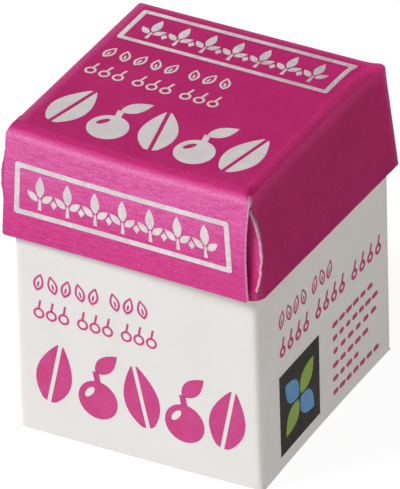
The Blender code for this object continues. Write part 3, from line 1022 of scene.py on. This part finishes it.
def row_tree():
    """Repeats a motif along a row, every other one leaning back, in groups with a wider space between."""
    group = bpy.data.node_groups.new("ornament_row", "GeometryNodeTree")
    face = group.interface
    sockets = {}
    for name, kind, value in (
        ("Motif", "Object", None), ("Count", "Int", 5), ("Pitch", "Float", 0.005), ("Lean", "Float", 0.0),
        ("Group", "Int", 100), ("Space", "Float", 0.0), ("Left", "Float", 0.0), ("Middle", "Float", 0.0),
        ("Stretch", "Float", 0.0), ("Seed", "Int", 7), ("Ink", "Material", None),
    ):
        socket = face.new_socket(name=name, in_out="INPUT", socket_type="NodeSocket" + kind)
        if value is not None:
            socket.default_value = value
        sockets[name] = socket.identifier
    face.new_socket(name="Geometry", in_out="OUTPUT", socket_type="NodeSocketGeometry")
    tree = Tree(group)
    given = tree.node("NodeGroupInput").outputs
    inputs = {"Count": given["Count"], "Offset": (0, 0, 0)}
    line = tree.node("GeometryNodeMeshLine", {"mode": "OFFSET"}, inputs)
    index = tree.number("GeometryNodeInputIndex", {}, {}, "Index")
    pitch = Number(tree, given["Pitch"])
    groups_before = index.worked("FLOOR", index / Number(tree, given["Group"]))
    x = index * pitch + groups_before * Number(tree, given["Space"]) + Number(tree, given["Left"])
    spot = tree.node("ShaderNodeCombineXYZ", {}, {"X": x, "Y": given["Middle"], "Z": 0.0})
    inputs = {"Geometry": line.outputs["Mesh"], "Position": spot.outputs["Vector"]}
    points = tree.node("GeometryNodeSetPosition", {}, inputs)
    other_way = index.worked("MODULO", index, 2.0) * 2.0 - 1.0
    lean = other_way * Number(tree, given["Lean"])
    turn = tree.node("ShaderNodeCombineXYZ", {}, {"X": 0.0, "Y": 0.0, "Z": lean})
    inputs = {"Min": -1.0, "Max": 1.0, "Seed": given["Seed"]}
    chance = tree.node("FunctionNodeRandomValue", {"data_type": "FLOAT"}, inputs).outputs["Value"]
    wide = Number(tree, chance) * Number(tree, given["Stretch"]) + 1.0
    size = tree.node("ShaderNodeCombineXYZ", {}, {"X": wide, "Y": 1.0, "Z": 1.0})
    motif = tree.node("GeometryNodeObjectInfo", {"transform_space": "ORIGINAL"}, {"Object": given["Motif"]})
    inputs = {
        "Points": points.outputs["Geometry"], "Instance": motif.outputs["Geometry"],
        "Rotation": turn.outputs["Vector"], "Scale": size.outputs["Vector"],
    }
    placed_motifs = tree.node("GeometryNodeInstanceOnPoints", {}, inputs)
    real = tree.node("GeometryNodeRealizeInstances", {}, {"Geometry": placed_motifs.outputs["Instances"]})
    inputs = {"Geometry": real.outputs["Geometry"], "Material": given["Ink"]}
    inked = tree.node("GeometryNodeSetMaterial", {}, inputs)
    tree.node("NodeGroupOutput", {}, {"Geometry": inked.outputs["Geometry"]})
    return group, sockets


ROW_TREE, ROW_SOCKETS = row_tree()


def row(motif, finish, **inputs):
    """A row of a motif as one flat mesh. The motif's own object is removed afterwards."""
    stamp = bpy.data.objects.new("stamp", motif)
    made = bpy.data.objects.new("row", bpy.data.meshes.new("row"))
    for piece in (stamp, made):
        bpy.context.scene.collection.objects.link(piece)
    step = made.modifiers.new("Row", "NODES")
    step.node_group = ROW_TREE
    step[ROW_SOCKETS["Motif"]] = stamp
    step[ROW_SOCKETS["Ink"]] = finish
    for name, value in inputs.items():
        step[ROW_SOCKETS[name.title()]] = value
    mesh = applied(made).data
    bpy.data.objects.remove(made)
    bpy.data.objects.remove(stamp)
    return mesh


# The straight faces that carry print: each takes a place on the face and a height over it
FACES = {
    "lid_top": lambda u, v, w: lid_shape(Vector((u, v, LID_HEIGHT + w))),
    "lid_front": lambda u, v, w: lid_shape(Vector((u, -LID_DEPTH / 2 - w, v)), 0),
    "base_front": lambda u, v, w: base_shape(Vector((u, -BASE_DEPTH / 2 - w, v))),
    "base_right": lambda u, v, w: base_shape(Vector((BASE_WIDTH / 2 + w, u, v))),
    "base_back": lambda u, v, w: base_shape(Vector((-u, BASE_DEPTH / 2 + w, v))),
    "base_left": lambda u, v, w: base_shape(Vector((-BASE_WIDTH / 2 - w, -u, v))),
}


def printed(name, face, meshes, finish, layer=1):
    """Presses flat meshes on to a face as one thin closed layer of ink or foil."""
    bm = bmesh.new()
    for mesh in meshes:
        bm.from_mesh(mesh)
    low = [min(vert.co[axis] for vert in bm.verts) for axis in range(2)]
    high = [max(vert.co[axis] for vert in bm.verts) for axis in range(2)]
    divide(bm, [steps_between(low[axis], high[axis], PRINT_STEP) for axis in range(2)] + [[]])
    bmesh.ops.translate(bm, verts=bm.verts[:], vec=(0, 0, layer * INK_PROUD))
    under = bmesh.ops.duplicate(bm, geom=bm.verts[:] + bm.edges[:] + bm.faces[:])
    lower_faces = [item for item in under["geom"] if isinstance(item, bmesh.types.BMFace)]
    lower_verts = [item for item in under["geom"] if isinstance(item, bmesh.types.BMVert)]
    bmesh.ops.translate(bm, verts=lower_verts, vec=(0, 0, -layer * INK_PROUD - INK_SUNK))
    bmesh.ops.reverse_faces(bm, faces=lower_faces)
    pairs = under["vert_map"]
    rims = [edge for edge in bm.edges if edge.is_boundary and edge.verts[0].co.z > 0]
    for edge in rims:
        loop = edge.link_loops[0]
        a, b = loop.vert, loop.link_loop_next.vert
        bm.faces.new((b, a, pairs[a], pairs[b]))
    carrier = FACES[face]
    for vert in bm.verts:
        vert.co = carrier(*vert.co)
    for item in bm.faces:
        item.material_index = 0
        item.smooth = False
    made = into_object(name, bm)
    made.data.materials.clear()
    made.data.materials.append(finish)
    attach(made, "root")
    return made


def row_between(motif, finish, count, low, high, middle, group=100, space=0.0, **others):
    """A row of motifs that fills the stretch between two places, its wider spaces counted in."""
    pitch = (high - (count - 1) // group * space - low) / count
    sizes = {"count": count, "pitch": pitch, "left": low + pitch / 2, "middle": middle}
    return row(motif, finish, group=group, space=space, **sizes, **others)


# The carton

magenta_board = printed_board()
edge_fibre = cut_edge()
lid_inside = inner_board()
white = white_board()
foil = silver_foil()
magenta_ink = ink("magenta_ink", (0.560, 0.020, 0.190, 1), (0.600, 0.055, 0.250, 1))
white_ink = ink("white_ink", (0.800, 0.795, 0.780, 1), (0.740, 0.640, 0.680, 1))
dark_ink = ink("dark_ink", (0.036, 0.031, 0.028, 1), (0.060, 0.054, 0.050, 1))
blue_ink = ink("blue_ink", (0.090, 0.300, 0.620, 1), (0.140, 0.360, 0.640, 1))
green_ink = ink("green_ink", (0.270, 0.420, 0.045, 1), (0.340, 0.470, 0.090, 1))

LID_FINISHES = (magenta_board, edge_fibre, lid_inside)

base = make_base(white)
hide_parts("base_carton")
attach(base, "root")
lid_pieces = [make_tray(LID_FINISHES), make_front_board(LID_FINISHES)]
lid_pieces += [make_tongue(side, LID_FINISHES) for side in (-1, 1)]
for piece in lid_pieces:
    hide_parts("lid")
    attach(piece, "root")

# Foil frames, each round a row of sprigs and diamonds
FOIL_LINE = 0.95 * MM
FOIL_CORNER = 0.55 * MM
FOIL_MARGIN = 2.2 * MM
SPRIG_SIZE = 6.4 * MM
DIAMOND_SIZE = 1.7 * MM
DIAMOND_DROP = 1.5 * MM
SPRIGS = 7
for face, low, high, middle in (
    ("lid_top", (-21.3 * MM, 11.2 * MM), (20.5 * MM, 21.6 * MM), 16.4 * MM),
    ("lid_front", (-21.8 * MM, 4.7 * MM), (19.2 * MM, 14.4 * MM), 9.55 * MM),
):
    left, right = low[0] + FOIL_MARGIN, high[0] - FOIL_MARGIN
    half = (right - left) / SPRIGS / 2
    low_row = middle - DIAMOND_DROP
    printed(f"{face}_foil", face, [
        frame_band(low, high, FOIL_LINE, FOIL_CORNER),
        row_between(sprig(SPRIG_SIZE), foil, SPRIGS, left, right, middle),
        row_between(diamond(DIAMOND_SIZE), foil, SPRIGS - 1, left + half, right - half, low_row),
    ], foil)

# Two thin rows, and a bold row of leaves and berries below them
THIN_HEIGHT = 3.7 * MM
THIN_WIDTH = 2.0 * MM
THIN_STROKE = 0.42 * MM
THIN_LEAN = math.radians(14)
LEAF_SPACE = 1.4 * MM
BERRY_SPACE = 1.2 * MM
BOLD_HEIGHT = 13.4 * MM
BOLD_WIDTH = 6.8 * MM
BOLD_VEIN = 0.75 * MM
BOLD_BERRY_RADIUS = 3.75 * MM
BOLD_LEAN = math.radians(12)


def thin_leaves(finish, count, low, high, middle, group):
    leaf = outlined_leaf(THIN_HEIGHT, THIN_WIDTH, THIN_STROKE)
    return row_between(leaf, finish, count, low, high, middle, group, LEAF_SPACE, lean=THIN_LEAN)


def thin_rows(finish, left, tops, ends):
    """A row of leaves and one of berries, which start at the left and end in their own places."""
    middles = [top - THIN_HEIGHT / 2 for top in tops]
    berry = outlined_berry(THIN_HEIGHT, THIN_STROKE)
    return [
        thin_leaves(finish, 8, left, ends[0], middles[0], 5),
        row_between(berry, finish, 9, left, ends[1], middles[1], 3, BERRY_SPACE),
    ]


def bold_row(finish, left, right, middle):
    """Three leaves with two berries between them."""
    pitch = (right - left) / 5
    leaf = bold_leaf(BOLD_HEIGHT, BOLD_WIDTH, BOLD_VEIN)
    berry = bold_berry(BOLD_HEIGHT, BOLD_BERRY_RADIUS)
    return [
        row(leaf, finish, count=3, pitch=2 * pitch, lean=BOLD_LEAN, left=left + pitch / 2, middle=middle),
        row(berry, finish, count=2, pitch=2 * pitch, left=left + 1.5 * pitch, middle=middle),
    ]


motifs = thin_rows(white_ink, -21.2 * MM, (8.0 * MM, 2.0 * MM), (4.6 * MM, 5.6 * MM))
motifs += bold_row(white_ink, -21.2 * MM, 21.4 * MM, -12.4 * MM)
printed("lid_top_print", "lid_top", motifs, white_ink)
for face in ("base_front", "base_back"):
    motifs = thin_rows(magenta_ink, -20.0 * MM, (32.0 * MM, 26.6 * MM), (2.4 * MM, 3.9 * MM))
    motifs += bold_row(magenta_ink, -20.2 * MM, 21.0 * MM, 12.6 * MM)
    printed(f"{face}_print", face, motifs, magenta_ink)

# The sides: a thin row, a stronger row, and a block of short dashes
SIDE_LEFT = -16.8 * MM
STRONG_STROKE = 0.62 * MM
STRONG_SPACE = 1.6 * MM
DASH_LENGTH = 1.85 * MM
DASH_HEIGHT = 1.0 * MM
DASH_LEFT = 2.3 * MM

# The lines of dashes, in millimetres: the top one's place, the step down, and each one's count and right end
DASH_TOP = 17.3
DASH_LINE = 2.75
DASH_ENDS = ((6, 17.4), (7, 19.0), (6, 18.6), (5, 15.6), (4, 12.2), (7, 19.2))

for face in ("base_right", "base_left"):
    berry = outlined_berry(THIN_HEIGHT, STRONG_STROKE)
    motifs = [
        thin_leaves(magenta_ink, 7, SIDE_LEFT, 3.1 * MM, 29.6 * MM, 4),
        row_between(berry, magenta_ink, 12, SIDE_LEFT, 20.6 * MM, 24.0 * MM, 4, STRONG_SPACE),
    ]
    for line, (count, end) in enumerate(DASH_ENDS):
        high = (DASH_TOP - DASH_LINE * line) * MM
        bar = dash(DASH_LENGTH, DASH_HEIGHT)
        motifs.append(row_between(bar, magenta_ink, count, DASH_LEFT, end * MM, high, stretch=0.2, seed=line))
    printed(f"{face}_print", face, motifs, magenta_ink)

# A dark field with four petals, on the right side alone
LABEL_LOW = (-16.9 * MM, 2.7 * MM)
LABEL_HIGH = (-2.3 * MM, 18.7 * MM)
LABEL_ACROSS, LABEL_UP = ((a + b) / 2 for a, b in zip(LABEL_LOW, LABEL_HIGH))
PETAL_LENGTH = 6.8 * MM
PETAL_WIDTH = 4.2 * MM
PETAL_OUT = 3.9 * MM
corners = flat((LABEL_LOW, (LABEL_HIGH[0], LABEL_LOW[1]), LABEL_HIGH, (LABEL_LOW[0], LABEL_HIGH[1])))
printed("label_field", "base_right", [Motif("field").patch(corners).mesh()], dark_ink)
for name, finish, turns in (("blue_petals", blue_ink, (45, 225)), ("green_petals", green_ink, (135, 315))):
    petals = Motif(name)
    for turn in turns:
        angle = math.radians(turn)
        middle = (LABEL_ACROSS - PETAL_OUT * math.sin(angle), LABEL_UP + PETAL_OUT * math.cos(angle))
        petals.patch(placed(leaf_points(PETAL_LENGTH, PETAL_WIDTH), middle, angle))
    printed(name, "base_right", [petals.mesh()], finish, layer=2)

# The camera, at the photograph's viewing angle
CAMERA_TURN = math.radians(28.84)
CAMERA_RISE = math.radians(33.95)
CAMERA_ROLL = math.radians(-2.18)
CAMERA_DISTANCE = 2.6518
PIXELS_PER_METRE = 5943.0
LONG_SIDE = 489  # of the photograph, in pixels
TARGET = Vector((0, 0, 0.029))
SIDE_STEP = -0.000149
UP_STEP = -0.000009

# The stage and its light
TABLE_HALF = 9.0
TABLE_DROP = 0.0001  # so that the table and the carton's underside don't lie in one plane
TABLE_GLOW = 0.94
WALL_RADIUS = 6.0
WALL_HEIGHTS = (-2.2, 2.2, 8.0)
WALL_SIDES = 48
WALL_OPENING = 0.6  # the cosine of half the turn that the upper ring leaves open
WALL_GLOW = 0.55
ROOM_LIGHT = 0.05
ROOM_TINT = (1.0, 0.985, 0.96, 1)
CARD_WAY = (-0.40, -0.727, -0.558)
CARD_SPREAD = math.radians(45)
CARD_LIGHT = 1.30


def toward(turn, rise):
    """The direction of this compass turn and height, in radians, seen from the carton."""
    return Vector((math.sin(turn) * math.cos(rise), -math.cos(turn) * math.cos(rise), math.sin(rise)))


def make_camera():
    back = toward(CAMERA_TURN, CAMERA_RISE)
    level = Vector((math.cos(CAMERA_TURN), math.sin(CAMERA_TURN), 0))
    up = back.cross(level)
    side = math.cos(CAMERA_ROLL) * level + math.sin(CAMERA_ROLL) * up
    top = math.cos(CAMERA_ROLL) * up - math.sin(CAMERA_ROLL) * level
    data = bpy.data.cameras.new("camera")
    data.sensor_width = 36
    data.sensor_fit = "AUTO"
    data.lens = PIXELS_PER_METRE * CAMERA_DISTANCE * data.sensor_width / LONG_SIDE
    data.clip_end = 20
    made = bpy.data.objects.new("camera", data)
    place = TARGET + SIDE_STEP * side + UP_STEP * top + CAMERA_DISTANCE * back
    turned = Matrix((side, top, back)).transposed().to_4x4()
    made.matrix_world = Matrix.Translation(place) @ turned
    bpy.context.scene.collection.objects.link(made)
    bpy.context.scene.camera = made


def make_floor():
    """A wide white table that the carton stands on."""
    finish = Finish("white_table")
    cloud = finish.noise(0.08, 2.0)
    shade = finish.mix(cloud, (0.12, 0.12, 0.12, 1), (0.14, 0.14, 0.14, 1))
    glow = {"Emission Color": (1, 1, 1, 1), "Emission Strength": TABLE_GLOW, "Specular IOR Level": 0.0}
    table = finish.done(shade, 0.8, cloud, 0.0001, glow)
    bm = bmesh.new()
    bmesh.ops.create_grid(bm, x_segments=4, y_segments=4, size=TABLE_HALF)
    bmesh.ops.translate(bm, verts=bm.verts[:], vec=(0, 0, -TABLE_DROP))
    made = into_object("table", bm, table)
    made.visible_glossy = False


def make_wall():
    """A pale wall, seen only in the gloss of foil and ink. It is low where the foil card stands."""
    finish = Finish("pale_wall")
    cloud = finish.noise(0.5, 2.0)
    shade = finish.mix(cloud, (0.1, 0.1, 0.1, 1), (0.12, 0.12, 0.12, 1))
    glow = {"Emission Color": (1, 1, 1, 1), "Emission Strength": WALL_GLOW, "Specular IOR Level": 0.0}
    wall = finish.done(shade, 0.9, cloud, 0.0001, glow)
    away = Vector((-math.sin(CAMERA_TURN), math.cos(CAMERA_TURN), 0))
    bm = bmesh.new()
    ring = ring_points(WALL_RADIUS, WALL_RADIUS, WALL_SIDES)
    rings = [[bm.verts.new(point + Vector((0, 0, z))) for point in ring] for z in WALL_HEIGHTS]
    for low, high in zip(rings, rings[1:]):
        for i in range(WALL_SIDES):
            j = (i + 1) % WALL_SIDES
            if low is rings[0] or low[i].co.normalized().dot(away) < WALL_OPENING:
                bm.faces.new((low[i], high[i], high[j], low[j]))
    made = into_object("wall", bm, wall)
    made.visible_camera = False
    made.visible_diffuse = False
    made.visible_shadow = False


def make_light(name, turn, rise, strength, softness, colour=(1, 1, 1)):
    """A distant soft light from this compass turn and height, in degrees, both seen from the carton."""
    data = bpy.data.lights.new(name, "SUN")
    data.energy = strength
    data.angle = math.radians(softness)
    data.color = colour
    made = bpy.data.objects.new(name, data)
    way = toward(math.radians(turn), math.radians(rise))
    made.matrix_world = way.to_track_quat("Z", "Y").to_matrix().to_4x4()
    bpy.context.scene.collection.objects.link(made)


def make_room():
    """A dim room that is brighter low on the left in front, which only gloss shows."""
    world = bpy.data.worlds.new("studio")
    bpy.context.scene.world = world
    world.use_nodes = True
    tree = Tree(world.node_tree)
    world.node_tree.nodes.clear()
    inputs = {0: tree.node("ShaderNodeTexCoord").outputs["Generated"], 1: Vector(CARD_WAY).normalized()}
    near_card = tree.number("ShaderNodeVectorMath", {"operation": "DOT_PRODUCT"}, inputs, "Value")
    strength = near_card.step(math.cos(CARD_SPREAD), 1.0) * CARD_LIGHT + ROOM_LIGHT
    shade = tree.node("ShaderNodeBackground", {}, {"Color": ROOM_TINT, "Strength": strength})
    tree.node("ShaderNodeOutputWorld", {}, {"Surface": shade.outputs["Background"]})


def make_panel(name, way, distance, size, strength, middle):
    """A soft box that shows only in gloss, at this distance and in this direction from its middle."""
    data = bpy.data.lights.new(name, "AREA")
    data.shape = "RECTANGLE"
    data.size, data.size_y = size
    data.energy = strength * math.pi * size[0] * size[1]
    made = bpy.data.objects.new(name, data)
    way = Vector(way).normalized()
    turned = way.to_track_quat("Z", "Y").to_matrix().to_4x4()
    made.matrix_world = Matrix.Translation(Vector(middle) + way * distance) @ turned
    made.visible_camera = False
    made.visible_diffuse = False
    bpy.context.scene.collection.objects.link(made)


make_camera()
make_floor()
make_light("key", turn=-45, rise=47, strength=2.85, softness=25)
make_light("warm_fill", turn=80, rise=25, strength=0.24, softness=60, colour=(1.0, 0.70, 0.48))
make_panel(
    "foil_card", way=(-0.40, 0.727, 0.558), distance=0.22, size=(0.10, 0.14), strength=1.60,
    middle=(-0.052, 0.01, 0.058))
make_wall()
make_room()
bpy.context.scene.view_settings.view_transform = "Standard"
